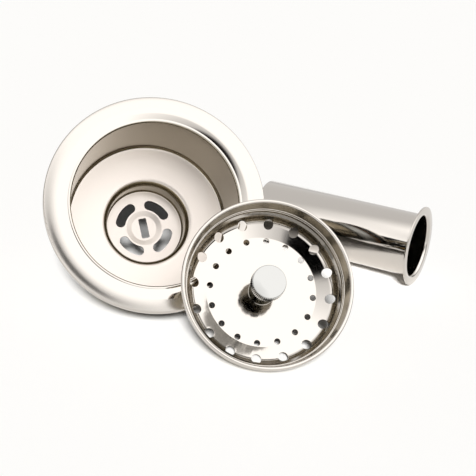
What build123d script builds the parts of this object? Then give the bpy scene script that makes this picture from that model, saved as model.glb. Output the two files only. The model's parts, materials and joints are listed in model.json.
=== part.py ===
from build123d import *
import os
from math import acos, asin, atan, atan2, cos, degrees, hypot, pi, radians, sin, sqrt, tan

# Strainer body: one drawn sheet from the flange's rim to the slotted plate
sheet = 0.9
flange_d = 114.3
flange_height = 3.6
rim_drop = 1.4
rim_round = 1.2
crown_share = 0.523
slope_share = 0.315
slope_drop = 0.26
groove_width = 1.7
groove_drop = 1.2
groove_round = 0.4
lip_drop = 0.65
lip_round = 1.1
cup_d = 86.4
cup_depth = 44.5
cup_corner = 2.0
floor_fall = 1.5
sump_depth = 15.7
sump_edge = 4.0
sump_corner = 1.0
dimple_d = 20.0
dimple_floor_d = 14.0
dimple_depth = 0.8
dimple_round = 2.4

# Openings of the slotted plate
slot_count = 4
slot_ring_d = 27.0
slot_width = 5.5
slot_span = 43.0
slot_turn = 58.0
key_length = 11.5
key_width = 4.5
key_corner = 0.8

# Outlet nipple round the sump, with the washer and nut that hold the tailpiece
nipple_wall = 1.3
nipple_overhang = 3.6
nipple_shoulder = 0.3
washer_wall = 3.4
washer_thickness = 1.5
coupling_flats = 54.0
coupling_wall = 3.05
coupling_height = 19.0
coupling_lip = 2.0
coupling_chamfer = 1.2
thread_play = 0.05
tail_play = 0.6

# Gasket, friction ring, thread and locknut round the cup
gasket_width = 9.6
gasket_thickness = 5.0
gasket_round = 1.0
gasket_gap = 0.3
ring_width = 8.0
ring_thickness = 1.5
thread_pitch = 1.8
thread_depth = 0.75
thread_root = 0.3
thread_gap = 1.0
locknut_wall = 5.6
locknut_height = 14.5
locknut_chamfer = 0.8
lug_count = 8
lug_width = 11.0
lug_height = 9.0
lug_reach = 2.4

# Basket: one drawn and pierced sheet with a rolled rim
basket_sheet = 0.7
basket_d = 85.4
basket_depth = 20.6
rim_roll = 1.0
rim_skirt = 0.9
basket_wall_d = 74.6
wall_lean = 1.6
ledge_depth = 10.2
ledge_height = 1.6
ledge_round = 1.0
basket_corner = 4.5
basket_slope = 19.0
basket_floor_d = 56.0
basket_edge = 1.6
bead_radius = 0.35
bead_count = 2
bead_pitch = 1.5
hole_count = 16
hole_turn = -3.7
wall_hole_d = 5.0
wall_hole_ring_d = 69.4
floor_hole_d = 3.2
floor_hole_ring_d = 52.8

# Post through the basket, its knob, its stopper and its locking pin
running_fit = 0.05
body_gap = 0.3
post_d = 6.0
bushing_wall = 1.6
bushing_height = 3.0
bushing_flange = 2.2
bushing_flange_height = 1.0
knob_d = 17.4
knob_height = 7.0
knob_rise = 3.2
knob_dome = 0.6
knob_teeth = 60
knob_tooth_depth = 0.4
knob_cover = 1.8
stopper_d = 51.0
stopper_neck_d = 44.0
stopper_height = 4.0
stopper_skirt = 2.2
stopper_hollow = 1.0
stopper_hollow_d = 40.0
stopper_washer_d = 18.0
stopper_washer_height = 1.2
stopper_nut_flats = 10.0
stopper_nut_height = 4.0
pin_d = 3.2
pin_play = 0.4
pin_end_play = 0.5
post_tip = 2.0

# Tailpiece: drawn tube with a turned-out flange
tail_d = 38.1
tail_wall = 0.9
tail_length = 101.6
tail_flange_d = 47.7
tail_bend = 1.8

# Layout on the table: the basket leans on the flange and the tailpiece lies behind
basket_overhang = 11.7
basket_turn = 3.5
basket_tip = 2.5
tail_end_x = 163.7
tail_end_y = 47.3
tail_turn = -37.4

# Levels and radii that follow from the sizes above, measured from the flange's crown
flange_r = flange_d / 2
cup_r = cup_d / 2
cup_outer_r = cup_r + sheet
nipple_outer_r = coupling_flats / 2 - coupling_wall - thread_play
nipple_inner_r = nipple_outer_r - nipple_wall
sump_r = nipple_inner_r - sheet
plate_z = -cup_depth - sump_depth
key_z = plate_z - dimple_depth
seat_z = -cup_depth - floor_fall
nipple_top_z = seat_z - sump_edge - nipple_shoulder
nipple_end_z = key_z - nipple_overhang
washer_end_z = nipple_end_z - washer_thickness
coupling_end_z = washer_end_z - coupling_lip
gasket_top_z = -flange_height - gasket_gap
ring_top_z = gasket_top_z - gasket_thickness
locknut_top_z = ring_top_z - ring_thickness
locknut_end_z = locknut_top_z - locknut_height
thread_top_z = locknut_end_z - thread_gap
thread_count = int((thread_top_z + cup_depth - 2 * cup_corner) / thread_pitch)

# Levels and radii of the basket, measured from the top of its rim
basket_r = basket_d / 2
basket_wall_r = basket_wall_d / 2
basket_floor_z = -basket_depth
basket_under_z = basket_floor_z - basket_sheet
basket_slope_z = basket_floor_z + (basket_wall_r - basket_floor_d / 2) * tan(radians(basket_slope))
stopper_top_z = basket_under_z - body_gap
stopper_end_z = stopper_top_z - stopper_height
stopper_washer_z = stopper_end_z + stopper_hollow - stopper_washer_height
stopper_nut_z = stopper_washer_z - stopper_nut_height
pin_z = stopper_end_z + (key_z - sheet) - seat_z - pin_play - pin_d / 2
post_end_z = pin_z - pin_d / 2 - post_tip
post_top_z = knob_rise - knob_cover


def revolved(outline):
    """Turn a closed outline, drawn as radius and height, about the Z axis."""
    return revolve(Plane.XZ * make_face(outline), Axis.Z)


def ring(inner_r, outer_r, top_z, height):
    """Make a plain ring that hangs down from its top level."""
    outline = Polyline(
        (inner_r, top_z),
        (outer_r, top_z),
        (outer_r, top_z - height),
        (inner_r, top_z - height),
        close=True,
    )
    return revolved(outline)


def rounded(edges, corners):
    """Join edges to one line and round each corner given as a point and a radius."""
    line = Wire(edges)
    for point, radius in corners:
        corner = line.vertices().sort_by_distance(point)[0]
        line = line.fillet_2d(radius, [corner])
    return line


def sheet_of_revolution(edges, corners, thickness):
    """Turn a sheet whose seen side follows a line, with the thickness on the line's left."""
    line = rounded(edges, corners)
    first = edges[0]
    inside = first @ 0.5 + (first % 0.5).rotate(Axis.Z, 90) * (thickness / 2)
    sections = [make_face(line.offset_2d(thickness, side=side).edges()) for side in (Side.LEFT, Side.RIGHT)]
    section = next(face for face in sections if face.is_inside(inside))
    return revolve(Plane.XZ * section, Axis.Z)


def around(count, start=0.0):
    """Give the angles of a pattern round the Z axis."""
    return [start + 360.0 * i / count for i in range(count)]


def cup_thread():
    """Make the thread's ridges, as rings on the cup's outer wall below the locknut."""
    root_r = cup_outer_r
    points = [(root_r - thread_root, thread_top_z)]
    for i in range(thread_count):
        top_z = thread_top_z - thread_pitch * i
        points.append((root_r, top_z))
        points.append((root_r + thread_depth, top_z - thread_pitch / 2))
    end_z = thread_top_z - thread_pitch * thread_count
    points.append((root_r, end_z))
    points.append((root_r - thread_root, end_z))
    return revolved(Polyline(*points, close=True))


def strainer_body():
    """Draw flange, cup, floor, sump and plate as one sheet, then pierce the plate."""
    flange_width = flange_r - cup_r
    rim_top = (flange_r, -rim_drop)
    crown = (cup_r + flange_width * crown_share, 0)
    slope_top = (cup_r + flange_width * slope_share, -slope_drop)
    groove = (cup_r + groove_width, -groove_drop)
    lip = (cup_r, -lip_drop)
    cup_foot = (cup_r, -cup_depth)
    sump_top = (sump_r, seat_z)
    sump_foot = (sump_r, plate_z)
    dimple_top = (dimple_d / 2, plate_z)
    dimple_foot = (dimple_floor_d / 2, key_z)
    edges = [
        Line((flange_r, -flange_height), rim_top),
        ThreePointArc(rim_top, crown, slope_top),
        *Polyline(slope_top, groove, lip, cup_foot, sump_top, sump_foot).edges(),
        *Polyline(sump_foot, dimple_top, dimple_foot, (0, key_z)).edges(),
    ]
    corners = [
        (rim_top, rim_round),
        (groove, groove_round),
        (lip, lip_round),
        (cup_foot, cup_corner),
        (sump_top, sump_edge),
        (sump_foot, sump_corner),
        (dimple_top, dimple_round),
        (dimple_foot, dimple_round),
    ]
    body = sheet_of_revolution(edges, corners, sheet) + cup_thread()
    depth = 2 * (dimple_depth + sheet)
    for angle in around(slot_count, slot_turn):
        arc = CenterArc((0, 0), slot_ring_d / 2, angle - slot_span / 2, slot_span)
        body -= Pos(0, 0, plate_z - depth / 2) * extrude(SlotArc(arc, slot_width), depth)
    key_turn = slot_turn + 180.0 / slot_count
    key = Rot(0, 0, key_turn) * RectangleRounded(key_length, key_width, key_corner)
    return body - Pos(0, 0, key_z - depth / 2) * extrude(key, depth)


def outlet_nipple():
    """Make the threaded sleeve that is brazed round the sump."""
    return ring(nipple_inner_r, nipple_outer_r, nipple_top_z, nipple_top_z - nipple_end_z)


def sink_gasket():
    """Make the rubber ring that seals the sink's underside."""
    inner_r = cup_outer_r + thread_play
    gasket = ring(inner_r, inner_r + gasket_width, gasket_top_z, gasket_thickness)
    outer_edges = gasket.edges().filter_by(GeomType.CIRCLE).group_by(SortBy.RADIUS)[-1]
    return fillet(outer_edges, gasket_round)


def friction_ring():
    """Make the fibre ring that lets the locknut turn against the gasket."""
    inner_r = cup_outer_r + thread_play
    return ring(inner_r, inner_r + ring_width, ring_top_z, ring_thickness)


def locknut():
    """Make the ring nut with lugs for a wrench round its lower part."""
    inner_r = cup_outer_r + thread_play
    outer_r = inner_r + locknut_wall
    nut = ring(inner_r, outer_r, locknut_top_z, locknut_height)
    lug = Box(2 * lug_reach + locknut_wall, lug_width, lug_height)
    lug_x = outer_r + lug_reach - (2 * lug_reach + locknut_wall) / 2
    for angle in around(lug_count):
        nut += Rot(0, 0, angle) * Pos(lug_x, 0, locknut_end_z + lug_height / 2) * lug
    bore = Cylinder(inner_r, locknut_height, align=(Align.CENTER, Align.CENTER, Align.MAX))
    nut -= Pos(0, 0, locknut_top_z) * bore
    top = nut.faces().sort_by(Axis.Z)[-1]
    return chamfer(top.outer_wire().edges(), locknut_chamfer)


def tail_washer():
    """Make the flat washer between the nipple's end and the tailpiece's flange."""
    return ring(nipple_outer_r - washer_wall, nipple_outer_r, nipple_end_z, washer_thickness)


def coupling_nut():
    """Make the hexagon nut, with a flat towards the table and a lip at its end."""
    hexagon = RegularPolygon(coupling_flats / 2, 6, major_radius=False)
    nut = extrude(hexagon, coupling_height)
    nut = Pos(0, 0, coupling_end_z) * nut
    flat_r = coupling_flats / 2
    cone_r = flat_r / cos(radians(30))
    top_z = coupling_end_z + coupling_height
    turned = Polyline(
        (0, coupling_end_z),
        (cone_r, coupling_end_z),
        (cone_r, top_z - coupling_chamfer),
        (flat_r - coupling_chamfer, top_z),
        (0, top_z),
        close=True,
    )
    nut &= revolved(turned)
    up = (Align.CENTER, Align.CENTER, Align.MIN)
    thread = Cylinder(nipple_outer_r + thread_play, coupling_height, align=up)
    way = Cylinder(tail_d / 2 + tail_play, coupling_height, align=up)
    return nut - Pos(0, 0, washer_end_z) * thread - Pos(0, 0, coupling_end_z) * way


def basket_cup():
    """Draw the basket as one sheet with a rolled rim, a ledge, two beads and its holes."""
    roll_foot = (basket_r, -rim_roll)
    roll_top = (basket_r - rim_roll, 0)
    wall_top = (basket_r - 2 * rim_roll, -rim_roll)
    ledge_outer = (basket_wall_r + wall_lean, -ledge_depth)
    ledge_inner = (basket_wall_r, -ledge_depth - ledge_height)
    foot = (basket_wall_r, basket_slope_z)
    floor_edge = (basket_floor_d / 2, basket_floor_z)
    edges = [
        Line((basket_r, -rim_roll - rim_skirt), roll_foot),
        ThreePointArc(roll_foot, roll_top, wall_top),
        *Polyline(wall_top, ledge_outer, ledge_inner, foot, floor_edge, (0, basket_floor_z)).edges(),
    ]
    corners = [
        (ledge_outer, ledge_round),
        (ledge_inner, ledge_round),
        (foot, basket_corner),
        (floor_edge, basket_edge),
    ]
    cup = sheet_of_revolution(edges, corners, basket_sheet)
    for i in range(bead_count):
        drop = ledge_depth - bead_pitch * (i + 1)
        share = (drop - rim_roll) / (ledge_depth - rim_roll)
        bead_r = wall_top[0] + (ledge_outer[0] - wall_top[0]) * share
        cup += Pos(0, 0, -drop) * Torus(bead_r, bead_radius)
    down = (Align.CENTER, Align.CENTER, Align.MAX)
    wall_hole = Cylinder(wall_hole_d / 2, basket_depth, align=down)
    floor_hole = Cylinder(floor_hole_d / 2, basket_depth, align=down)
    for angle in around(hole_count, hole_turn):
        cup -= Rot(0, 0, angle) * Pos(wall_hole_ring_d / 2, 0, -ledge_depth - ledge_height) * wall_hole
        cup -= Rot(0, 0, angle) * Pos(floor_hole_ring_d / 2, 0, -ledge_depth - ledge_height) * floor_hole
    middle = Cylinder(post_d / 2 + running_fit + bushing_wall, basket_depth, align=down)
    return cup - Pos(0, 0, -ledge_depth - ledge_height) * middle


def basket_bushing():
    """Make the flanged collar that is riveted in the basket's floor."""
    inner_r = post_d / 2 + running_fit
    outer_r = inner_r + bushing_wall
    flange_top = basket_floor_z + bushing_flange_height
    outline = Polyline(
        (inner_r, basket_under_z),
        (outer_r, basket_under_z),
        (outer_r, basket_floor_z),
        (outer_r + bushing_flange, basket_floor_z),
        (outer_r + bushing_flange, flange_top),
        (outer_r, flange_top),
        (outer_r, basket_floor_z + bushing_height),
        (inner_r, basket_floor_z + bushing_height),
        close=True,
    )
    return revolved(outline)


def basket_post():
    """Make the rod, with a cross hole for the pin."""
    post = Pos(0, 0, post_end_z) * Cylinder(
        post_d / 2, post_top_z - post_end_z, align=(Align.CENTER, Align.CENTER, Align.MIN)
    )
    return post - Pos(0, 0, pin_z) * Rot(0, 90, 0) * Cylinder(pin_d / 2, 2 * post_d)


def lift_knob():
    """Make the knob: a toothed edge, a low dome and a blind hole for the post."""
    outer_r = knob_d / 2
    inner_r = outer_r - knob_tooth_depth
    tips = [(outer_r if i % 2 else inner_r, pi * i / knob_teeth) for i in range(2 * knob_teeth)]
    outline = Polyline(*[(r * cos(turn), r * sin(turn)) for r, turn in tips], close=True)
    knob = Pos(0, 0, knob_rise - knob_height) * extrude(make_face(outline), knob_height)
    dome_r = (outer_r**2 + knob_dome**2) / (2 * knob_dome)
    knob &= Pos(0, 0, knob_rise - dome_r) * Sphere(dome_r)
    hole = Cylinder(post_d / 2, knob_height, align=(Align.CENTER, Align.CENTER, Align.MAX))
    return knob - Pos(0, 0, post_top_z) * hole


def rubber_stopper():
    """Make the flared rubber disc, hollowed below for its washer."""
    outline = Polyline(
        (post_d / 2, stopper_top_z),
        (stopper_neck_d / 2, stopper_top_z),
        (stopper_d / 2, stopper_end_z + stopper_skirt),
        (stopper_d / 2, stopper_end_z),
        (stopper_hollow_d / 2, stopper_end_z),
        (stopper_hollow_d / 2 - stopper_hollow, stopper_end_z + stopper_hollow),
        (post_d / 2, stopper_end_z + stopper_hollow),
        close=True,
    )
    return revolved(outline)


def stopper_washer():
    """Make the washer that backs the stopper."""
    top_z = stopper_washer_z + stopper_washer_height
    return ring(post_d / 2, stopper_washer_d / 2, top_z, stopper_washer_height)


def stopper_nut():
    """Make the hexagon nut that clamps the stopper on the post."""
    hexagon = RegularPolygon(stopper_nut_flats / 2, 6, major_radius=False) - Circle(post_d / 2)
    return Pos(0, 0, stopper_nut_z) * extrude(hexagon, stopper_nut_height)


def cross_pin():
    """Make the pin that passes the plate's slot and locks under it."""
    return Pos(0, 0, pin_z) * Rot(0, 90, 0) * Cylinder(pin_d / 2, key_length - 2 * pin_end_play)


def tailpiece():
    """Draw the tube with its flange turned out, standing on its plain end."""
    inner_r = tail_d / 2 - tail_wall
    edges = Polyline((tail_flange_d / 2, tail_length), (inner_r, tail_length), (inner_r, 0)).edges()
    return sheet_of_revolution(edges, [((inner_r, tail_length), tail_bend)], tail_wall)


# The body lies on the rounded foot of its cup and on a flat of the coupling nut
foot_r = cup_r - cup_corner
foot_s = cup_depth - cup_corner
foot_round = cup_corner + sheet
nut_rise = foot_r - coupling_flats / 2
nut_run = -coupling_end_z - foot_s
lie = atan2(nut_rise, nut_run) + asin(foot_round / hypot(nut_rise, nut_run))
body_height = foot_r * cos(lie) + foot_s * sin(lie) + foot_round
body_place = Pos(0, 0, body_height) * Rot(90 - degrees(lie), 0, 0)

# The basket stands on its rounded foot, turned and tipped a little from the flange, and leans on the
# flange's crown with the edge of its stopper
slope = radians(basket_slope)
basket_foot_r = basket_wall_r - basket_corner
basket_foot_s = basket_corner * (tan(slope) - 1 / cos(slope)) - basket_slope_z
basket_lie = lie + radians(basket_tip)
basket_height = basket_foot_r * cos(basket_lie) + basket_foot_s * sin(basket_lie) + basket_corner + basket_sheet
facing = cos(lie) * cos(basket_lie) * cos(radians(basket_turn)) + sin(lie) * sin(basket_lie)
basket_lift = body_gap + stopper_d / 2 * sin(acos(facing)) - stopper_end_z * facing
basket_y = ((basket_height - body_height) * sin(lie) - basket_lift) / cos(lie)
down_slope = (body_height - basket_height) * cos(lie) - basket_y * sin(lie)
aside = sqrt((flange_r + basket_overhang) ** 2 - down_slope**2)
basket_way = Rot(0, 0, -basket_turn) * Rot(90 - degrees(basket_lie), 0, 0)
basket_place = Pos(aside, basket_y, basket_height) * basket_way

# The tailpiece lies on its flange's edge and on the edge of its plain end
tail_lift = atan((tail_flange_d - tail_d) / 2 / (tail_length - tail_wall))
tail_run = Rot(0, 0, tail_turn) * Rot(0, 90 - degrees(tail_lift), 0)
tail_flange_height = tail_flange_d / 2 * cos(tail_lift) + tail_wall * sin(tail_lift)
tail_place = Pos(tail_end_x, tail_end_y, tail_flange_height) * tail_run * Pos(0, 0, -tail_length)

places = {
    "strainer_body": (strainer_body, body_place),
    "outlet_nipple": (outlet_nipple, body_place),
    "sink_gasket": (sink_gasket, body_place),
    "friction_ring": (friction_ring, body_place),
    "locknut": (locknut, body_place),
    "tail_washer": (tail_washer, body_place),
    "coupling_nut": (coupling_nut, body_place),
    "basket_cup": (basket_cup, basket_place),
    "basket_bushing": (basket_bushing, basket_place),
    "basket_post": (basket_post, basket_place),
    "lift_knob": (lift_knob, basket_place),
    "rubber_stopper": (rubber_stopper, basket_place),
    "stopper_washer": (stopper_washer, basket_place),
    "stopper_nut": (stopper_nut, basket_place),
    "cross_pin": (cross_pin, basket_place),
    "tailpiece": (tailpiece, tail_place),
}
pieces = {name: place * make() for name, (make, place) in places.items()}

# The origin is the middle of the set's footprint, on the table
extent = Compound(list(pieces.values())).bounding_box()
to_origin = Pos(-extent.center().X, -extent.center().Y, -extent.min.Z)

os.makedirs("parts", exist_ok=True)
for name, piece in pieces.items():
    export_step(to_origin * piece, f"parts/{name}.step")
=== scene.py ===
import json
import math

import bpy
from mathutils import Matrix, Vector


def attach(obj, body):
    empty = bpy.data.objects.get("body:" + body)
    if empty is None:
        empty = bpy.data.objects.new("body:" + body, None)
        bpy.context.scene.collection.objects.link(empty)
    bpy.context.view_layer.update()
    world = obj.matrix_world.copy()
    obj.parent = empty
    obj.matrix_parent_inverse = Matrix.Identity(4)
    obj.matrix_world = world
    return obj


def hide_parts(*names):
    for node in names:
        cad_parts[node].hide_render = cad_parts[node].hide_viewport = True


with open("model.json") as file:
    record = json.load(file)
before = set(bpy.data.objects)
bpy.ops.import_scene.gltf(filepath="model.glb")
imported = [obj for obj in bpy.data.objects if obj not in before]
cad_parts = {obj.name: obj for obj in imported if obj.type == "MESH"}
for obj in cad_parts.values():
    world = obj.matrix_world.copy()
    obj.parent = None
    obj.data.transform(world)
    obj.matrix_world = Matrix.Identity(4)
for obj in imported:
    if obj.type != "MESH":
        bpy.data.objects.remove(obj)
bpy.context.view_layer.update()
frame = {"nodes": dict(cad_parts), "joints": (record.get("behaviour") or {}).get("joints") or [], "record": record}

MM = 0.001
FULL_TURN = 2 * math.pi

# Strainer body, in millimetres: one drawn sheet from the flange's rim to the slotted plate
SHEET = 0.9
FLANGE_R = 57.15
FLANGE_HEIGHT = 3.6
RIM_DROP = 1.4
RIM_ROUND = 1.2
CROWN_SHARE = 0.523
SLOPE_SHARE = 0.315
SLOPE_DROP = 0.26
GROOVE_WIDTH = 1.7
GROOVE_DROP = 1.2
GROOVE_ROUND = 0.4
LIP_DROP = 0.65
LIP_ROUND = 1.1
CUP_R = 43.2
CUP_DEPTH = 44.5
CUP_CORNER = 2.0
FLOOR_FALL = 1.5
SUMP_R = 21.7
SUMP_DEPTH = 15.7
SUMP_EDGE = 4.0
SUMP_CORNER = 1.0
DIMPLE_R = 10.0
DIMPLE_FLOOR_R = 7.0
DIMPLE_DEPTH = 0.8
DIMPLE_ROUND = 2.4
SLOT_COUNT = 4
SLOT_RING_R = 13.5
SLOT_WIDTH = 5.5
SLOT_SPAN = math.radians(43)
SLOT_TURN = math.radians(58)
KEY_LENGTH = 11.5
KEY_WIDTH = 4.5
KEY_CORNER = 0.8
PLATE_Z = -CUP_DEPTH - SUMP_DEPTH
KEY_Z = PLATE_Z - DIMPLE_DEPTH

# Rolled thread on the cup's outer wall, below the locknut
THREAD_PITCH = 1.8
THREAD_DEPTH = 0.75
THREAD_FOOT = 1.62
THREAD_CREST = 0.24
THREAD_SUNK = 0.2
THREAD_TOP = -25.9
THREAD_TURNS = 8

# Basket: one drawn and pierced sheet with a rolled rim
BASKET_SHEET = 0.7
BASKET_R = 42.7
BASKET_DEPTH = 20.6
RIM_ROLL = 1.0
RIM_SKIRT = 0.9
BASKET_WALL_R = 37.3
WALL_LEAN = 1.6
LEDGE_DEPTH = 10.2
LEDGE_HEIGHT = 1.6
LEDGE_ROUND = 1.0
BASKET_CORNER = 4.5
BASKET_SLOPE = math.radians(19)
BASKET_FLOOR_R = 28.0
BASKET_EDGE = 1.6
BEAD_RADIUS = 0.35
BEAD_PITCH = 1.5
BEAD_COUNT = 2
HOLE_COUNT = 16
HOLE_TURN = math.radians(-3.7)
WALL_HOLE_R = 2.5
WALL_HOLE_RING_R = 34.7
FLOOR_HOLE_R = 1.6
FLOOR_HOLE_RING_R = 26.4
MIDDLE_HOLE_R = 4.65

# Knob
KNOB_R = 8.7
KNOB_HEIGHT = 7.0
KNOB_RISE = 3.2
KNOB_DOME = 0.6
KNOB_TEETH = 60
KNOB_TOOTH_DEPTH = 0.4
KNOB_EDGE = 0.4
KNOB_CHAMFER = 0.24
KNOB_SHOULDER_R = 4.15
KNOB_SHOULDER_DROP = 0.15
KNOB_SHOULDER_ROUND = 12.45

# Tailpiece: drawn tube with a turned-out flange
TAIL_R = 19.05
TAIL_WALL = 0.9
TAIL_LENGTH = 101.6
TAIL_FLANGE_R = 23.85
TAIL_BEND = 1.8

# How finely round shapes are drawn, and how many steps of the crown's arc the rounded rim takes up
TURN_STEPS = 192
ARC_STEP = math.radians(6)
CROWN_STEPS = 28
RIM_STEPS = 4
HOLE_SIDES = 48
SMOOTH_ANGLE = math.radians(38)

# Points nearer than this are one, and faces nearer than this angle are one plane
MERGE_DISTANCE = 0.001
FLAT_ANGLE = math.radians(0.5)

# How far the cutters run past the sheet
SLOT_REACH = 4 * SHEET
HOLE_REACH = 3 * BASKET_SHEET

# Bevels of a cut sheet, a cast nut and a turned nut
EDGE_BEVEL = 0.18
CAST_BEVEL = 0.5
TURNED_BEVEL = 0.3

# Least rise of the normal of the end faces of the knob's teeth
END_RISE = 0.9

# Least rise of a face's normal that a buff reaches in the basket, and a scouring pad in the strainer. Steeper
# walls also take a darker base, painted shade, the strainer's floor above it a lighter base, painted light, and
# knob faces turned down past it a darker chrome, painted shade
BUFFED_AND_LIT_RISE = math.sin(math.radians(35))
SCOURED_AND_LIT_RISE = math.sin(math.radians(60))


def frame_at(point, axis):
    """Give the place whose Z runs along an axis and whose X stays level."""
    z = Vector(axis).normalized()
    x = Vector((0, 0, 1)).cross(z).normalized()
    y = z.cross(x)
    turn = Matrix((x, y, z)).transposed().to_4x4()
    return Matrix.Translation(Vector(point)) @ turn


mounts = {mount["name"]: mount for mount in frame["record"]["mounts"]}
sink_hole = mounts["sink_hole"]
body_axis = Vector(sink_hole["axis"])
BODY_PLACE = frame_at(Vector(sink_hole["pos_m"]) + body_axis * FLANGE_HEIGHT * MM, body_axis)
knob_turn = frame["joints"][0]
BASKET_PLACE = frame_at(knob_turn["pos_m"], knob_turn["axis"])
tube = mounts["tailpiece_outside"]
tube_axis = -Vector(tube["axis"])
tube_start = Vector(tube["pos_m"]) - tube_axis * tube["dims"]["length_mm"] / 2 * MM
TAIL_PLACE = frame_at(tube_start, tube_axis)


# Outlines, as radius and height


def arc(centre, radius, start, end):
    """Give points on an arc, from one angle to another."""
    count = max(2, math.ceil(abs(end - start) / ARC_STEP))
    turns = [start + (end - start) * i / count for i in range(count + 1)]
    return [(centre[0] + radius * math.cos(t), centre[1] + radius * math.sin(t)) for t in turns]


def crown_arc(first, top, last):
    """Give points on the arc through the flange's rim, crown and inner slope."""
    ax, ay = first
    bx, by = top
    cx, cy = last
    a2, b2, c2 = ax * ax + ay * ay, bx * bx + by * by, cx * cx + cy * cy
    d = 2 * (ax * (by - cy) + bx * (cy - ay) + cx * (ay - by))
    x = (a2 * (by - cy) + b2 * (cy - ay) + c2 * (ay - by)) / d
    y = (a2 * (cx - bx) + b2 * (ax - cx) + c2 * (bx - ax)) / d
    start = math.atan2(ay - y, ax - x)
    end = math.atan2(cy - y, cx - x)
    turns = [start + (end - start) * i / CROWN_STEPS for i in range(CROWN_STEPS + 1)]
    radius = math.dist((x, y), first)
    return [(x + radius * math.cos(t), y + radius * math.sin(t)) for t in turns]


def round_corner(before, corner, after, radius):
    """Give points on the arc that rounds a corner between two straight runs."""
    a = (Vector(before) - Vector(corner)).normalized()
    b = (Vector(after) - Vector(corner)).normalized()
    half = a.angle(b) / 2
    centre = Vector(corner) + (a + b).normalized() * radius / math.sin(half)
    start = Vector(corner) + a * radius / math.tan(half) - centre
    end = Vector(corner) + b * radius / math.tan(half) - centre
    first = math.atan2(start.y, start.x)
    sweep = math.remainder(math.atan2(end.y, end.x) - first, FULL_TURN)
    return arc(centre, radius, first, first + sweep)


def rounded(points, radii):
    """Round the corners of a line, with one radius for each point between its ends."""
    line = [points[0]]
    for i, radius in enumerate(radii, start=1):
        line += round_corner(points[i - 1], points[i], points[i + 1], radius)
    return line + [points[-1]]


# Modelling steps


def take_up(piece):
    """Select one piece alone and make it active."""
    bpy.ops.object.select_all(action="DESELECT")
    piece.select_set(True)
    bpy.context.view_layer.objects.active = piece


def draw_line(name, points):
    """Add a plane, merge it to one vertex and extrude that along a line of points."""
    bpy.ops.object.select_all(action="DESELECT")
    bpy.ops.mesh.primitive_plane_add(size=MM)
    piece = bpy.context.object
    piece.name = name
    piece.data.name = name
    bpy.ops.object.mode_set(mode="EDIT")
    bpy.ops.mesh.select_all(action="SELECT")
    bpy.ops.mesh.merge(type="CENTER")
    here = Vector(points[0]) * MM
    bpy.ops.transform.translate(value=here)
    for point in points[1:]:
        there = Vector(point) * MM
        bpy.ops.mesh.extrude_region_move(TRANSFORM_OT_translate={"value": there - here})
        here = there
    return piece


def lathe(name, outline, outward):
    """Spin an outline about Z, with the seen side of its first face towards a radius and height."""
    piece = draw_line(name, [(r, 0, z) for r, z in outline])
    bpy.ops.mesh.select_all(action="SELECT")
    bpy.ops.mesh.spin(steps=TURN_STEPS, angle=FULL_TURN, center=(0, 0, 0), axis=(0, 0, 1))
    bpy.ops.mesh.select_all(action="SELECT")
    bpy.ops.mesh.remove_doubles(threshold=MERGE_DISTANCE * MM)
    bpy.ops.mesh.normals_make_consistent(inside=False)
    bpy.ops.object.mode_set(mode="OBJECT")
    start = Vector((outline[0][0], 0, outline[0][1])) * MM
    first_face = min(piece.data.polygons, key=lambda face: (face.center - start).length)
    if first_face.normal.dot(Vector((outward[0], 0, outward[1]))) < 0:
        bpy.ops.object.mode_set(mode="EDIT")
        bpy.ops.mesh.flip_normals()
        bpy.ops.object.mode_set(mode="OBJECT")
    return piece


def prism(name, outline, low, high):
    """Fill a closed outline and extrude it upwards."""
    piece = draw_line(name, [(x, y, low) for x, y in outline])
    bpy.ops.mesh.select_all(action="SELECT")
    bpy.ops.mesh.edge_face_add()
    bpy.ops.mesh.extrude_region_move(TRANSFORM_OT_translate={"value": (0, 0, (high - low) * MM)})
    bpy.ops.mesh.select_all(action="SELECT")
    bpy.ops.mesh.normals_make_consistent(inside=False)
    bpy.ops.object.mode_set(mode="OBJECT")
    return piece


def work(piece, kind, **settings):
    """Add a modifier with its settings and apply it."""
    take_up(piece)
    modifier = piece.modifiers.new(kind.title(), kind)
    for key, value in settings.items():
        setattr(modifier, key, value)
    bpy.ops.object.modifier_apply(modifier=modifier.name)


def thicken(piece, thickness):
    """Give a surface its sheet's thickness behind its seen side."""
    work(
        piece,
        "SOLIDIFY",
        thickness=thickness * MM,
        offset=-1,
        use_even_offset=True,
        use_quality_normals=True,
    )


def soften(piece, width=EDGE_BEVEL, segments=2, angle=50):
    """Round the sharp edges a little, so that they catch the light."""
    limit = math.radians(angle)
    work(piece, "BEVEL", width=width * MM, segments=segments, limit_method="ANGLE", angle_limit=limit)


def join(pieces):
    """Join pieces to the first one."""
    take_up(pieces[0])
    for piece in pieces[1:]:
        piece.select_set(True)
    bpy.ops.object.join()
    return pieces[0]


def cut(piece, cutters):
    """Cut joined cutters out of a piece."""
    tool = join(cutters)
    work(piece, "BOOLEAN", operation="DIFFERENCE", solver="EXACT", object=tool)
    bpy.data.objects.remove(tool)


def give(piece, *finishes):
    """Give a piece its finishes, in the order of its zones."""
    piece.data.materials.clear()
    for material in finishes:
        piece.data.materials.append(material)


def set_down(piece, place):
    """Smooth a finished piece and move its mesh to its place, with its object left at the origin."""
    take_up(piece)
    bpy.ops.object.shade_smooth_by_angle(angle=SMOOTH_ANGLE)
    piece.matrix_world = place
    bpy.ops.object.transform_apply(location=True, rotation=True, scale=True)
    return piece


def hole_cutter(radius, ring_r, turn, low, high):
    """Add a round cutter on a circle of holes."""
    bpy.ops.object.select_all(action="DESELECT")
    middle = Vector((ring_r * math.cos(turn), ring_r * math.sin(turn), (low + high) / 2)) * MM
    bpy.ops.mesh.primitive_cylinder_add(
        vertices=HOLE_SIDES, radius=radius * MM, depth=(high - low) * MM, location=middle
    )
    bpy.ops.object.transform_apply(location=True, rotation=True, scale=True)
    return bpy.context.object


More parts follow.
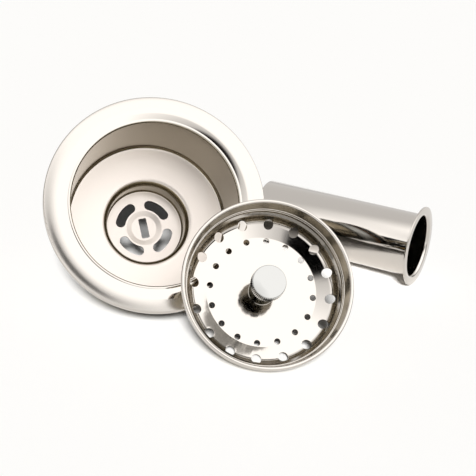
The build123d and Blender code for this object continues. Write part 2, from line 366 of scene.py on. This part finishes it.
def solid_copy(node_name, name):
    """Copy a solid's mesh to a new piece, with its loose triangles merged to whole faces."""
    piece = bpy.data.objects.new(name, frame["nodes"][node_name].data.copy())
    bpy.context.scene.collection.objects.link(piece)
    piece.data.name = name
    take_up(piece)
    bpy.ops.object.mode_set(mode="EDIT")
    bpy.ops.mesh.select_all(action="SELECT")
    bpy.ops.mesh.customdata_custom_splitnormals_clear()
    bpy.ops.mesh.remove_doubles(threshold=MERGE_DISTANCE * MM)
    bpy.ops.mesh.dissolve_limited(angle_limit=FLAT_ANGLE)
    bpy.ops.object.mode_set(mode="OBJECT")
    return piece


# Pieces


def slot_outline(middle):
    """Give the outline of a curved slot with round ends."""
    first, last = middle - SLOT_SPAN / 2, middle + SLOT_SPAN / 2
    half = SLOT_WIDTH / 2
    outer = arc((0, 0), SLOT_RING_R + half, first, last)
    inner = arc((0, 0), SLOT_RING_R - half, last, first)
    last_end = (SLOT_RING_R * math.cos(last), SLOT_RING_R * math.sin(last))
    first_end = (SLOT_RING_R * math.cos(first), SLOT_RING_R * math.sin(first))
    far_cap = arc(last_end, half, last, last + math.pi)
    near_cap = arc(first_end, half, first + math.pi, first + FULL_TURN)
    return outer + far_cap[1:-1] + inner + near_cap[1:-1]


def key_outline(turn):
    """Give the outline of the rectangular slot with rounded corners."""
    x, y = KEY_LENGTH / 2 - KEY_CORNER, KEY_WIDTH / 2 - KEY_CORNER
    line = []
    for quarter, middle in enumerate([(x, y), (-x, y), (-x, -y), (x, -y)]):
        start = quarter * math.pi / 2
        line += arc(middle, KEY_CORNER, start, start + math.pi / 2)
    spin = Matrix.Rotation(turn, 2)
    return [tuple(spin @ Vector(point)) for point in line]


def strainer_body(crown_finish, rim_finish, lit_floor_finish, shaded_wall_finish):
    """Spin flange, cup, sump and plate from one sheet and cut the plate's slots."""
    flange_width = FLANGE_R - CUP_R
    rim_top = (FLANGE_R, -RIM_DROP)
    crown_top = (CUP_R + flange_width * CROWN_SHARE, 0)
    slope_top = (CUP_R + flange_width * SLOPE_SHARE, -SLOPE_DROP)
    crown = crown_arc(rim_top, crown_top, slope_top)
    rim = rounded([(FLANGE_R, -FLANGE_HEIGHT), rim_top, crown[RIM_STEPS]], [RIM_ROUND])
    inside = rounded(
        [
            slope_top,
            (CUP_R + GROOVE_WIDTH, -GROOVE_DROP),
            (CUP_R, -LIP_DROP),
            (CUP_R, -CUP_DEPTH),
            (SUMP_R, -CUP_DEPTH - FLOOR_FALL),
            (SUMP_R, PLATE_Z),
            (DIMPLE_R, PLATE_Z),
            (DIMPLE_FLOOR_R, KEY_Z),
            (0, KEY_Z),
        ],
        [GROOVE_ROUND, LIP_ROUND, CUP_CORNER, SUMP_EDGE, SUMP_CORNER, DIMPLE_ROUND, DIMPLE_ROUND],
    )
    body = lathe("strainer_body.sheet", rim + crown[RIM_STEPS + 1:] + inside[1:], outward=(1, 0))
    thicken(body, SHEET)
    soften(body)
    low, high = KEY_Z - SLOT_REACH, PLATE_Z + SLOT_REACH
    cutters = []
    for i in range(SLOT_COUNT):
        middle = SLOT_TURN + FULL_TURN * i / SLOT_COUNT
        cutters.append(prism("slot", slot_outline(middle), low, high))
    cutters.append(prism("key", key_outline(SLOT_TURN + math.pi / SLOT_COUNT), low, high))
    cut(body, cutters)
    give(body, crown_finish, rim_finish, lit_floor_finish, shaded_wall_finish)
    crown_zone, rim_zone, lit_floor_zone, shaded_wall_zone = range(4)
    # The cup's steep inner walls take a darker base, painted shade, and its floor and plate a lighter base,
    # painted light
    for face in body.data.polygons:
        radius = face.center.xy.length
        steep = face.normal.z <= SCOURED_AND_LIT_RISE
        faces_in = face.normal.xy.dot(face.center.xy) < 0
        on_flange = face.center.z > -(LIP_DROP + LIP_ROUND) * MM or radius > (CUP_R + 2 * SHEET) * MM
        if radius > crown_top[0] * MM:
            face.material_index = rim_zone
        elif steep and faces_in and radius < (CUP_R + LIP_ROUND) * MM:
            face.material_index = shaded_wall_zone
        elif on_flange:
            face.material_index = crown_zone
        else:
            face.material_index = shaded_wall_zone if steep else lit_floor_zone
    return set_down(body, BODY_PLACE)


def cup_thread(steel):
    """Turn a ridge round the cup's outer wall with a screw, its foot sunk in the wall."""
    foot_r = CUP_R + SHEET - THREAD_SUNK
    crest_r = CUP_R + SHEET + THREAD_DEPTH
    middle = THREAD_TOP - THREAD_PITCH / 2
    section = [
        (foot_r, middle + THREAD_FOOT / 2),
        (crest_r, middle + THREAD_CREST / 2),
        (crest_r, middle - THREAD_CREST / 2),
        (foot_r, middle - THREAD_FOOT / 2),
    ]
    thread = draw_line("strainer_body.thread", [(r, 0, z) for r, z in section])
    bpy.ops.mesh.select_all(action="SELECT")
    bpy.ops.mesh.edge_face_add()
    bpy.ops.object.mode_set(mode="OBJECT")
    work(
        thread,
        "SCREW",
        axis="Z",
        screw_offset=-THREAD_PITCH * MM,
        iterations=THREAD_TURNS,
        steps=TURN_STEPS // 2,
        render_steps=TURN_STEPS // 2,
    )
    bpy.ops.object.mode_set(mode="EDIT")
    bpy.ops.mesh.select_all(action="SELECT")
    bpy.ops.mesh.normals_make_consistent(inside=False)
    bpy.ops.object.mode_set(mode="OBJECT")
    give(thread, steel)
    return set_down(thread, BODY_PLACE)


def basket_cup(buffed_finish, shaded_wall_finish):
    """Spin the basket from one sheet with a rolled rim, a ledge and two beads, and pierce it."""
    roll = arc((BASKET_R - RIM_ROLL, -RIM_ROLL), RIM_ROLL, 0, math.pi)
    wall_top = roll[-1]
    ledge_outer = (BASKET_WALL_R + WALL_LEAN, -LEDGE_DEPTH)
    ledge_inner = (BASKET_WALL_R, -LEDGE_DEPTH - LEDGE_HEIGHT)
    foot = (BASKET_WALL_R, -BASKET_DEPTH + (BASKET_WALL_R - BASKET_FLOOR_R) * math.tan(BASKET_SLOPE))
    beads = []
    for i in reversed(range(BEAD_COUNT)):
        drop = LEDGE_DEPTH - BEAD_PITCH * (i + 1)
        share = (drop - RIM_ROLL) / (LEDGE_DEPTH - RIM_ROLL)
        bead_r = wall_top[0] + (ledge_outer[0] - wall_top[0]) * share
        beads += arc((bead_r, -drop), BEAD_RADIUS, math.pi / 2, 3 * math.pi / 2)
    below = rounded(
        [
            beads[-1],
            ledge_outer,
            ledge_inner,
            foot,
            (BASKET_FLOOR_R, -BASKET_DEPTH),
            (MIDDLE_HOLE_R, -BASKET_DEPTH),
        ],
        [LEDGE_ROUND, LEDGE_ROUND, BASKET_CORNER, BASKET_EDGE],
    )
    rim_foot = (BASKET_R, -RIM_ROLL - RIM_SKIRT)
    cup = lathe("basket_cup.sheet", [rim_foot] + roll + beads + below[1:], outward=(1, 0))
    thicken(cup, BASKET_SHEET)
    low, high = -BASKET_DEPTH - HOLE_REACH, -LEDGE_DEPTH - LEDGE_HEIGHT
    cutters = []
    for i in range(HOLE_COUNT):
        turn = HOLE_TURN + FULL_TURN * i / HOLE_COUNT
        cutters.append(hole_cutter(WALL_HOLE_R, WALL_HOLE_RING_R, turn, low, high))
        cutters.append(hole_cutter(FLOOR_HOLE_R, FLOOR_HOLE_RING_R, turn, low, high))
    cut(cup, cutters)
    give(cup, buffed_finish, shaded_wall_finish)
    buffed_zone, shaded_wall_zone = range(2)
    # Below the rim, faces steeper than the buff's reach take the rougher drawn steel, whose darker base is painted
    # shade
    for face in cup.data.polygons:
        on_rim = face.center.z > -2 * RIM_ROLL * MM
        face.material_index = buffed_zone if on_rim or face.normal.z > BUFFED_AND_LIT_RISE else shaded_wall_zone
    return set_down(cup, BASKET_PLACE)


def lift_knob(top_finish, shaded_under_finish):
    """Spin a domed core and put a ring of teeth round it, chamfered at both ends."""
    core_r = KNOB_R - KNOB_TOOTH_DEPTH
    foot_z = KNOB_RISE - KNOB_HEIGHT
    edge_z = KNOB_RISE - KNOB_DOME
    outline = rounded(
        [
            (0, foot_z),
            (core_r, foot_z),
            (core_r, edge_z),
            (KNOB_SHOULDER_R, KNOB_RISE - KNOB_SHOULDER_DROP),
            (0, KNOB_RISE),
        ],
        [KNOB_EDGE, KNOB_EDGE, KNOB_SHOULDER_ROUND],
    )
    core = lathe("lift_knob.turned", outline, outward=(0, -1))
    tips = [(KNOB_R - KNOB_TOOTH_DEPTH * (i % 2), math.pi * i / KNOB_TEETH) for i in range(2 * KNOB_TEETH)]
    teeth_line = [(r * math.cos(turn), r * math.sin(turn)) for r, turn in tips]
    teeth = prism("teeth", teeth_line, foot_z + KNOB_EDGE, edge_z - KNOB_EDGE)
    chamfer_in = (core_r - KNOB_TOOTH_DEPTH) / KNOB_R
    for way in (1, -1):
        take_up(teeth)
        bpy.ops.object.mode_set(mode="EDIT")
        bpy.ops.mesh.select_all(action="DESELECT")
        bpy.ops.mesh.select_mode(type="FACE")
        bpy.ops.object.mode_set(mode="OBJECT")
        for face in teeth.data.polygons:
            face.select = face.normal.z * way > END_RISE
        bpy.ops.object.mode_set(mode="EDIT")
        step = (0, 0, way * KNOB_CHAMFER * MM)
        bpy.ops.mesh.extrude_region_move(TRANSFORM_OT_translate={"value": step})
        bpy.ops.transform.resize(value=(chamfer_in, chamfer_in, 1), center_override=(0, 0, 0))
        bpy.ops.mesh.select_mode(type="VERT")
        bpy.ops.object.mode_set(mode="OBJECT")
    knob = join([core, teeth])
    give(knob, top_finish, shaded_under_finish)
    top_zone, shaded_under_zone = range(2)
    # Faces of the knob that turn down take the darker chrome, painted shade
    for face in knob.data.polygons:
        face.material_index = shaded_under_zone if face.normal.z < -BUFFED_AND_LIT_RISE else top_zone
    return set_down(knob, BASKET_PLACE)


def tailpiece(steel):
    """Spin the tube with its flange turned out from one sheet."""
    bore_r = TAIL_R - TAIL_WALL
    line = rounded([(TAIL_FLANGE_R, TAIL_LENGTH), (bore_r, TAIL_LENGTH), (bore_r, 0)], [TAIL_BEND])
    pipe = lathe("tailpiece.tube", line, outward=(0, 1))
    thicken(pipe, TAIL_WALL)
    soften(pipe)
    give(pipe, steel)
    return set_down(pipe, TAIL_PLACE)


def bevelled_nut(node_name, name, metal, width):
    """Round the edges of a nut, as its casting or turning leaves them."""
    nut = solid_copy(node_name, name)
    soften(nut, width=width, segments=3, angle=28)
    give(nut, metal)
    return set_down(nut, Matrix.Identity(4))


# Finishes


def colour(code):
    """Turn an sRGB hex value to linear."""
    parts = [int(code[i:i + 2], 16) / 255 for i in (1, 3, 5)]
    return [p / 12.92 if p <= 0.04045 else ((p + 0.055) / 1.055) ** 2.4 for p in parts] + [1.0]


def add(tree, kind, inputs=None, **settings):
    """Add a node with its settings, and give each input a value or a link."""
    node = tree.nodes.new(kind)
    for key, value in settings.items():
        setattr(node, key, value)
    for key, value in (inputs or {}).items():
        if isinstance(value, bpy.types.NodeSocket):
            tree.links.new(value, node.inputs[key])
        else:
            node.inputs[key].default_value = value
    return node


def finish(name, base, metallic, roughness):
    """Start a material with its shader, and give its tree, shader and object coordinates."""
    material = bpy.data.materials.new(name)
    material.use_nodes = True
    material.diffuse_color = colour(base)
    tree = material.node_tree
    shader = tree.nodes["Principled BSDF"]
    shader.inputs["Base Color"].default_value = colour(base)
    shader.inputs["Metallic"].default_value = metallic
    shader.inputs["Roughness"].default_value = roughness
    coords = add(tree, "ShaderNodeTexCoord").outputs["Object"]
    return material, tree, shader, coords


def turning_marks(tree, coords, place, spacing):
    """Draw fine lines round a piece's own axis, as turning or polishing on a lathe leaves."""
    turned = add(
        tree,
        "ShaderNodeMapping",
        {"Vector": coords, "Location": place.to_translation(), "Rotation": place.to_euler()},
        vector_type="TEXTURE",
    )
    flat = add(tree, "ShaderNodeVectorMath", {0: turned.outputs[0], 1: (1, 1, 0)}, operation="MULTIPLY")
    radius = add(tree, "ShaderNodeVectorMath", {0: flat.outputs[0]}, operation="LENGTH")
    way = add(tree, "ShaderNodeVectorMath", {0: flat.outputs[0]}, operation="NORMALIZE")
    drift = add(
        tree, "ShaderNodeVectorMath", {0: way.outputs[0], "Scale": 2 * spacing * MM}, operation="SCALE"
    )
    along = add(tree, "ShaderNodeSeparateXYZ", {0: drift.outputs[0]})
    height = add(tree, "ShaderNodeSeparateXYZ", {0: turned.outputs[0]})
    line = add(
        tree,
        "ShaderNodeCombineXYZ",
        {0: radius.outputs["Value"], 1: height.outputs[2], 2: along.outputs[0]},
    )
    return add(
        tree,
        "ShaderNodeTexNoise",
        {"Vector": line.outputs[0], "W": along.outputs[1], "Scale": 1 / (spacing * MM), "Detail": 3.0},
        noise_dimensions="4D",
    ).outputs["Fac"]


def polished_stainless(name, place):
    """Stainless steel, drawn and buffed: a warm mirror, a little blurred, that waves very slightly."""
    material, tree, shader, coords = finish(name, "#c9c3bc", 1.0, 0.08)
    # Real polishing lines are finer than 0.1 mm, drawn coarser to show
    marks = turning_marks(tree, coords, place, spacing=1.2)
    blur = add(tree, "ShaderNodeMapRange", {"Value": marks, "To Min": 0.055, "To Max": 0.11})
    tree.links.new(blur.outputs[0], shader.inputs["Roughness"])
    waves = add(tree, "ShaderNodeTexNoise", {"Vector": coords, "Scale": 1 / (14 * MM), "Detail": 1.0})
    bump = add(
        tree, "ShaderNodeBump", {"Height": waves.outputs["Fac"], "Strength": 0.25, "Distance": 0.05 * MM}
    )
    tree.links.new(bump.outputs[0], shader.inputs["Normal"])
    return material


def satin_stainless(name, place, base, roughness):
    """Stainless steel, scoured round its axis: soft reflections drawn across fine lines."""
    material, tree, shader, coords = finish(name, base, 1.0, roughness)
    # Real lines are about 0.1 mm apart, drawn coarser to show
    marks = turning_marks(tree, coords, place, spacing=0.5)
    spread = 0.04
    blur = add(
        tree,
        "ShaderNodeMapRange",
        {"Value": marks, "To Min": roughness - spread, "To Max": roughness + spread},
    )
    tree.links.new(blur.outputs[0], shader.inputs["Roughness"])
    bump = add(tree, "ShaderNodeBump", {"Height": marks, "Strength": 0.15, "Distance": 0.02 * MM})
    tree.links.new(bump.outputs[0], shader.inputs["Normal"])
    return material


def shaded_drawn_stainless(name, place):
    """Stainless steel, left as the press draws it, with broad, faint rings; its darker, olive grey base is painted
    shade on the walls of the cup and the basket.
    """
    material, tree, shader, coords = finish(name, "#9a917f", 1.0, 0.18)
    marks = turning_marks(tree, coords, place, spacing=2.0)
    blur = add(tree, "ShaderNodeMapRange", {"Value": marks, "To Min": 0.15, "To Max": 0.22})
    tree.links.new(blur.outputs[0], shader.inputs["Roughness"])
    return material


def chrome_plate(name, base):
    """Brass, chrome plated: the coolest mirror, with faint handling marks. A copy with a darker base is painted
    shade on the knob's underside, the post and its bushing.
    """
    material, tree, shader, coords = finish(name, base, 1.0, 0.06)
    smears = add(tree, "ShaderNodeTexNoise", {"Vector": coords, "Scale": 1 / (3 * MM), "Detail": 4.0})
    blur = add(tree, "ShaderNodeMapRange", {"Value": smears.outputs["Fac"], "To Min": 0.03, "To Max": 0.1})
    tree.links.new(blur.outputs[0], shader.inputs["Roughness"])
    return material


def turned_brass(name, place):
    """Brass, turned and left bare: yellow metal with tool lines and slight tarnish."""
    material, tree, shader, coords = finish(name, "#cfae6a", 1.0, 0.28)
    tarnish = add(tree, "ShaderNodeTexNoise", {"Vector": coords, "Scale": 1 / (9 * MM), "Detail": 5.0})
    tint = add(tree, "ShaderNodeMix", {"Factor": tarnish.outputs["Fac"]}, data_type="RGBA")
    tint.inputs["A"].default_value = colour("#b58f4c")
    tint.inputs["B"].default_value = colour("#dcc080")
    tree.links.new(tint.outputs["Result"], shader.inputs["Base Color"])
    # Real tool lines are about 0.2 mm apart, drawn coarser to show
    marks = turning_marks(tree, coords, place, spacing=0.5)
    bump = add(tree, "ShaderNodeBump", {"Height": marks, "Strength": 0.5, "Distance": 0.03 * MM})
    tree.links.new(bump.outputs[0], shader.inputs["Normal"])
    return material


def cast_zinc(name):
    """Zinc, die cast: dull grey metal with fine pits and a patchy skin."""
    material, tree, shader, coords = finish(name, "#a3a4a2", 1.0, 0.45)
    skin = add(tree, "ShaderNodeTexNoise", {"Vector": coords, "Scale": 1 / (6 * MM), "Detail": 6.0})
    tint = add(tree, "ShaderNodeMix", {"Factor": skin.outputs["Fac"]}, data_type="RGBA")
    tint.inputs["A"].default_value = colour("#8c8d8b")
    tint.inputs["B"].default_value = colour("#b9bab7")
    tree.links.new(tint.outputs["Result"], shader.inputs["Base Color"])
    blur = add(tree, "ShaderNodeMapRange", {"Value": skin.outputs["Fac"], "To Min": 0.36, "To Max": 0.56})
    tree.links.new(blur.outputs[0], shader.inputs["Roughness"])
    pits = add(tree, "ShaderNodeTexNoise", {"Vector": coords, "Scale": 1 / (0.7 * MM), "Detail": 3.0})
    bump = add(
        tree, "ShaderNodeBump", {"Height": pits.outputs["Fac"], "Strength": 0.5, "Distance": 0.08 * MM}
    )
    tree.links.new(bump.outputs[0], shader.inputs["Normal"])
    return material


def black_rubber(name):
    """Moulded black rubber: matt, faintly bloomed, with a fine grain."""
    material, tree, shader, coords = finish(name, "#1b1b1c", 0.0, 0.62)
    bloom = add(tree, "ShaderNodeTexNoise", {"Vector": coords, "Scale": 1 / (11 * MM), "Detail": 5.0})
    tint = add(tree, "ShaderNodeMix", {"Factor": bloom.outputs["Fac"]}, data_type="RGBA")
    tint.inputs["A"].default_value = colour("#131314")
    tint.inputs["B"].default_value = colour("#262626")
    tree.links.new(tint.outputs["Result"], shader.inputs["Base Color"])
    grain = add(tree, "ShaderNodeTexNoise", {"Vector": coords, "Scale": 1 / (0.45 * MM), "Detail": 2.0})
    bump = add(
        tree, "ShaderNodeBump", {"Height": grain.outputs["Fac"], "Strength": 0.4, "Distance": 0.06 * MM}
    )
    tree.links.new(bump.outputs[0], shader.inputs["Normal"])
    return material


def pressed_fibre(name):
    """Pressed paper fibre: dry brown card with paler flecks."""
    material, tree, shader, coords = finish(name, "#8a6644", 0.0, 0.85)
    flecks = add(tree, "ShaderNodeTexNoise", {"Vector": coords, "Scale": 1 / (1.1 * MM), "Detail": 6.0})
    share = add(
        tree, "ShaderNodeMapRange", {"Value": flecks.outputs["Fac"], "From Min": 0.35, "From Max": 0.7}
    )
    tint = add(tree, "ShaderNodeMix", {"Factor": share.outputs[0]}, data_type="RGBA")
    tint.inputs["A"].default_value = colour("#744f31")
    tint.inputs["B"].default_value = colour("#a98660")
    tree.links.new(tint.outputs["Result"], shader.inputs["Base Color"])
    bump = add(
        tree, "ShaderNodeBump", {"Height": flecks.outputs["Fac"], "Strength": 0.5, "Distance": 0.1 * MM}
    )
    tree.links.new(bump.outputs[0], shader.inputs["Normal"])
    return material


def moulded_polythene(name):
    """Natural polythene, moulded: milky white and a little waxy."""
    material, tree, shader, coords = finish(name, "#e8e6dd", 0.0, 0.42)
    shader.inputs["Subsurface Weight"].default_value = 0.25
    shader.inputs["Subsurface Radius"].default_value = (1.5 * MM, 1.4 * MM, 1.2 * MM)
    shader.inputs["Subsurface Scale"].default_value = 1.0
    flow = add(tree, "ShaderNodeTexNoise", {"Vector": coords, "Scale": 1 / (5 * MM), "Detail": 3.0})
    blur = add(tree, "ShaderNodeMapRange", {"Value": flow.outputs["Fac"], "To Min": 0.36, "To Max": 0.5})
    tree.links.new(blur.outputs[0], shader.inputs["Roughness"])
    return material


crown_steel = polished_stainless("polished_stainless.flange", BODY_PLACE)
rim_steel = satin_stainless("satin_stainless.rim", BODY_PLACE, "#c9c3bc", 0.22)
# The floor's satin is scoured; its lighter base than the rest of the sheet is painted light
lit_floor_steel = satin_stainless("satin_stainless.lit_floor", BODY_PLACE, "#d9d0c8", 0.36)
# The walls' darker drawn steel is painted shade
shaded_wall_steel = shaded_drawn_stainless("shaded_drawn_stainless.wall", BODY_PLACE)
basket_steel = polished_stainless("polished_stainless.basket", BASKET_PLACE)
shaded_basket_wall_steel = shaded_drawn_stainless("shaded_drawn_stainless.basket_wall", BASKET_PLACE)
tube_steel = polished_stainless("polished_stainless.tube", TAIL_PLACE)
chrome = chrome_plate("chrome_plate", "#b5b4b1")
# A darker copy of the chrome, painted shade under the knob
shaded_chrome = chrome_plate("chrome_plate.painted_shade", "#8a877f")
nipple_brass = turned_brass("turned_brass.nipple", BODY_PLACE)
nut_brass = turned_brass("turned_brass.nut", BASKET_PLACE)
zinc = cast_zinc("cast_zinc")
rubber = black_rubber("black_rubber")
fibre = pressed_fibre("pressed_fibre")
polythene = moulded_polythene("moulded_polythene")

body_sheet = strainer_body(crown_steel, rim_steel, lit_floor_steel, shaded_wall_steel)
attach(body_sheet, "drain")
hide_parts("strainer_body")

thread = cup_thread(shaded_wall_steel)
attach(thread, "drain")

basket = basket_cup(basket_steel, shaded_basket_wall_steel)
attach(basket, "drain")
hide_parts("basket_cup")

knob = lift_knob(chrome, shaded_chrome)
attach(knob, "post")
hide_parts("lift_knob")

outlet_tube = tailpiece(tube_steel)
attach(outlet_tube, "drain")
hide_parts("tailpiece")

ring_nut = bevelled_nut("locknut", "locknut.cast", zinc, CAST_BEVEL)
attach(ring_nut, "drain")
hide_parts("locknut")

hexagon_nut = bevelled_nut("coupling_nut", "coupling_nut.cast", zinc, CAST_BEVEL)
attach(hexagon_nut, "drain")
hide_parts("coupling_nut")

small_nut = bevelled_nut("stopper_nut", "stopper_nut.turned", nut_brass, TURNED_BEVEL)
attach(small_nut, "post")
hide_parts("stopper_nut")

solid_finishes = {
    "outlet_nipple": nipple_brass,
    "sink_gasket": rubber,
    "friction_ring": fibre,
    "tail_washer": polythene,
    # The bushing and post under the knob take the darker chrome, painted shade
    "basket_bushing": shaded_chrome,
    "basket_post": shaded_chrome,
    "rubber_stopper": rubber,
    "stopper_washer": basket_steel,
    "cross_pin": basket_steel,
}
for node_name, material in solid_finishes.items():
    give(frame["nodes"][node_name], material)

# Camera at the photograph's view, aimed beside the flange's centre, with its angles in degrees
IMAGE_PIXELS = 476
FOCUS_PIXELS = 1036.94
SENSOR_MM = 36
AIM_FROM_FLANGE = Vector((46.1, 8.0, -21.04))
CAMERA_DISTANCE = 553.4
CAMERA_AZIMUTH = -11.584
CAMERA_ELEVATION = 21.663
CAMERA_ROLL = 6.852


def towards(azimuth, elevation):
    """Give the direction at a bearing, in degrees to the right of the camera's own, and an elevation."""
    bearing = math.radians(CAMERA_AZIMUTH) + math.radians(azimuth)
    level = math.cos(math.radians(elevation))
    rise = math.sin(math.radians(elevation))
    return Vector((math.sin(bearing) * level, -math.cos(bearing) * level, rise))


camera_aim = BODY_PLACE.to_translation() + AIM_FROM_FLANGE * MM
camera_back = towards(0, CAMERA_ELEVATION)
bpy.ops.object.camera_add(location=camera_aim + camera_back * CAMERA_DISTANCE * MM)
camera = bpy.context.object
camera.rotation_mode = "QUATERNION"
level_turn = (-camera_back).to_track_quat("-Z", "Y")
roll_turn = Matrix.Rotation(math.radians(CAMERA_ROLL), 3, "Z").to_quaternion()
camera.rotation_quaternion = level_turn @ roll_turn
camera.data.sensor_width = SENSOR_MM
camera.data.lens = FOCUS_PIXELS / IMAGE_PIXELS * SENSOR_MM
bpy.context.scene.camera = camera

# White table, with a soft sun from above the camera
TABLE_SIZE = 12
SUN_LEVEL = 5.8
SUN_WIDTH = math.radians(10)
SUN_FROM = (2, 32)
bpy.ops.mesh.primitive_plane_add(size=TABLE_SIZE)
table = bpy.context.object
table.name = "table"
paper, _, paper_shader, _ = finish("white_paper", "#fbfaf8", 0.0, 0.9)
paper_shader.inputs["Specular IOR Level"].default_value = 0.0
give(table, paper)

bpy.ops.object.light_add(type="SUN")
sun = bpy.context.object
sun.name = "soft_sun"
sun.data.energy = SUN_LEVEL
sun.data.angle = SUN_WIDTH
sun.rotation_mode = "QUATERNION"
sun.rotation_quaternion = (-towards(*SUN_FROM)).to_track_quat("-Z", "Y")
sun.visible_glossy = False

# Studio that the metal reflects: white before it and dimmer behind, where the walls fade into each other
ROOM_LEVEL = 0.04
FRONT_LEVEL = 1.92
BACK_LEVEL = 0.87
FRONT_FROM = (25, 0)
FADE_START = -0.45
FADE_END = 0.1

# Long dark opening round the camera: where its middle and ends lie, half its length and width in degrees,
# how many times that its soft edge starts and ends, and how dark it is at shares of the way in
OPENING_MIDDLE = (-10, 25)
OPENING_HIGH_END = (-24, 36)
OPENING_LOW_END = (5, 15)
OPENING_HALF_LENGTH = 17
OPENING_HALF_WIDTH = 8
OPENING_EDGE = 3.2
OPENING_CORE = 0.8
OPENING_SHADES = ((0.5, 0.3), (0.85, 0.5))

# Any large number: depth doesn't count in the opening
NO_DEPTH = 100

# Dark gaps between the panels: the side, with the lower and upper elevation in degrees
GAPS = ((-1, 13, 23), (1, -1, 11))
GAP_BLUR = 0.015
GAP_START = 0.45
GAP_END = 0.65


def studio_walls(studio, look):
    """Fade from the dimmer wall behind to the white one in front."""
    ahead = add(studio, "ShaderNodeVectorMath", {0: look, 1: towards(*FRONT_FROM)}, operation="DOT_PRODUCT")
    walls = add(
        studio,
        "ShaderNodeMapRange",
        {
            "Value": ahead.outputs["Value"],
            "From Min": FADE_START,
            "From Max": FADE_END,
            "To Min": BACK_LEVEL,
            "To Max": FRONT_LEVEL,
        },
        interpolation_type="SMOOTHSTEP",
    )
    return walls.outputs[0]


def dark_opening(studio, look):
    """Darken a long oval that leans to the left of the camera."""
    lengthwise = (towards(*OPENING_HIGH_END) - towards(*OPENING_LOW_END)).normalized()
    widthwise = towards(*OPENING_MIDDLE).cross(lengthwise).normalized()
    lean = Matrix((lengthwise, widthwise, lengthwise.cross(widthwise))).transposed().to_euler()
    half_length = math.sin(math.radians(OPENING_HALF_LENGTH))
    half_width = math.sin(math.radians(OPENING_HALF_WIDTH))
    oval = add(
        studio,
        "ShaderNodeMapping",
        {"Vector": look, "Rotation": lean, "Scale": (half_length, half_width, NO_DEPTH)},
        vector_type="TEXTURE",
    )
    from_middle = add(studio, "ShaderNodeVectorMath", {0: oval.outputs[0]}, operation="LENGTH")
    inward = add(
        studio,
        "ShaderNodeMapRange",
        {"Value": from_middle.outputs["Value"], "From Min": OPENING_EDGE, "From Max": OPENING_CORE},
    )
    opening = add(studio, "ShaderNodeValToRGB", {"Fac": inward.outputs[0]})
    for share, darkness in OPENING_SHADES:
        opening.color_ramp.elements.new(share).color = (darkness, darkness, darkness, 1)
    return opening.outputs[0]


def dark_gap(studio, look, side, low, high):
    """Darken a level band on one side of the studio."""
    foot, top = math.sin(math.radians(low)), math.sin(math.radians(high))
    half = (top - foot) / 2
    height = add(studio, "ShaderNodeSeparateXYZ", {0: look})
    sideways = add(studio, "ShaderNodeVectorMath", {0: look, 1: towards(90, 0)}, operation="DOT_PRODUCT")
    above = add(studio, "ShaderNodeMath", {0: height.outputs[2], 1: (foot + top) / 2}, operation="SUBTRACT")
    from_middle = add(studio, "ShaderNodeMath", {0: above.outputs[0]}, operation="ABSOLUTE")
    across = add(
        studio,
        "ShaderNodeMapRange",
        {"Value": from_middle.outputs[0], "From Min": half + GAP_BLUR, "From Max": half - GAP_BLUR},
        interpolation_type="SMOOTHSTEP",
    )
    along = add(
        studio,
        "ShaderNodeMapRange",
        {"Value": sideways.outputs["Value"], "From Min": GAP_START * side, "From Max": GAP_END * side},
        interpolation_type="SMOOTHSTEP",
    )
    gap = add(studio, "ShaderNodeMath", {0: across.outputs[0], 1: along.outputs[0]}, operation="MULTIPLY")
    return gap.outputs[0]


world = bpy.data.worlds.new("studio")
bpy.context.scene.world = world
world.use_nodes = True
room = world.node_tree
look = add(room, "ShaderNodeTexCoord").outputs["Generated"]
dark = dark_opening(room, look)
for side, low, high in GAPS:
    gap = dark_gap(room, look, side, low, high)
    dark = add(room, "ShaderNodeMath", {0: dark, 1: gap}, operation="MAXIMUM").outputs[0]
lit = add(room, "ShaderNodeMath", {0: 1.0, 1: dark}, operation="SUBTRACT")
seen = add(room, "ShaderNodeMath", {0: studio_walls(room, look), 1: lit.outputs[0]}, operation="MULTIPLY")

# Metal sees the studio, the camera sees plain white, and the rest is lit by the dim room
path = add(room, "ShaderNodeLightPath")
level = add(
    room,
    "ShaderNodeMix",
    {"Factor": path.outputs["Is Glossy Ray"], "A": ROOM_LEVEL, "B": seen.outputs[0]},
)
backdrop = add(
    room,
    "ShaderNodeMix",
    {"Factor": path.outputs["Is Camera Ray"], "A": level.outputs[0], "B": 1.0},
)
background = room.nodes["Background"]
background.inputs["Color"].default_value = colour("#ffffff")
room.links.new(backdrop.outputs[0], background.inputs["Strength"])
bpy.context.scene.view_settings.view_transform = "Standard"
